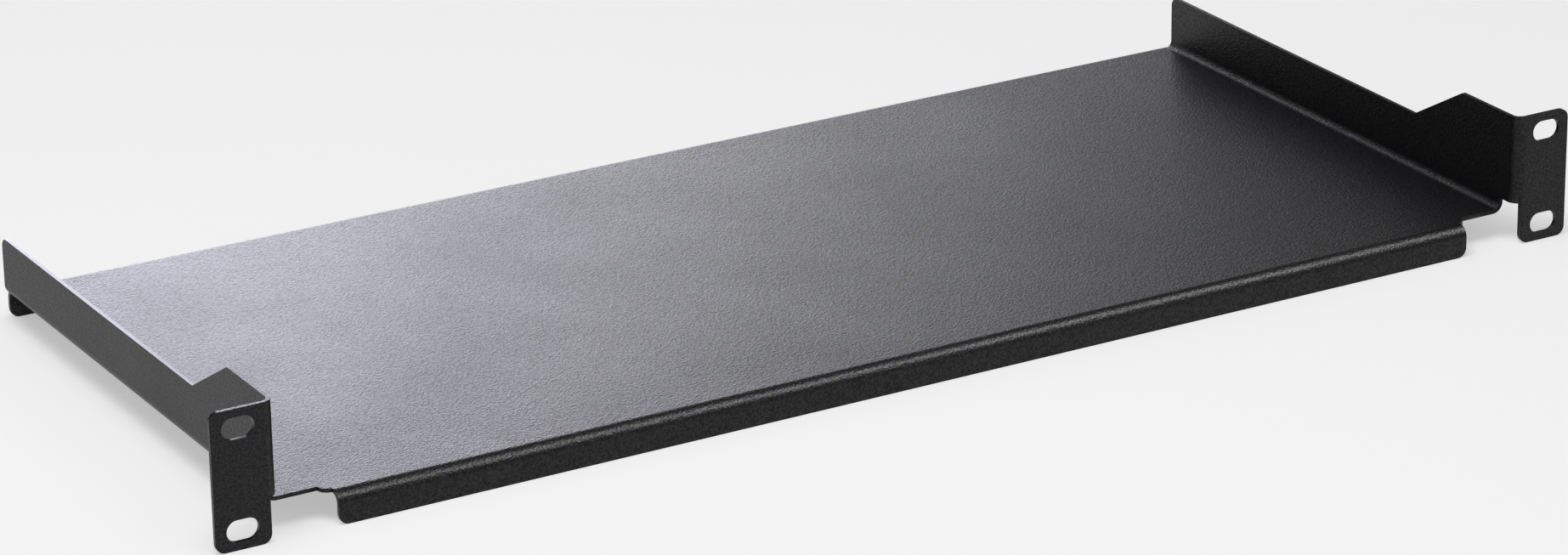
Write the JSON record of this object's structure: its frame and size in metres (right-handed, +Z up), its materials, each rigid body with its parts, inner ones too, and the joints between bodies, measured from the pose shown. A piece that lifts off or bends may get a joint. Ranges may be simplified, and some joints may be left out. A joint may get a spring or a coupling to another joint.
{
  "type": "cantilever rack shelf",
  "caption": "Black folded-steel shelf for a 19 inch rack: a shallow tray with stepped side walls, front and rear lips, and two slotted rack ears.",
  "frame": {"origin": "middle of the four ear slots, on the back faces of the ears, where they bear on the rack's front rails", "axes": "+X to the right seen from the front, +Y back into the rack, +Z up"},
  "size_m": [0.4826, 0.2032, 0.0438],
  "materials": {
    "powder_coat": "fine-textured black powder coat, semi-matt"
  },
  "bodies": {
    "root": {"folded_shelf": "powder_coat"}
  },
  "joints": []
}
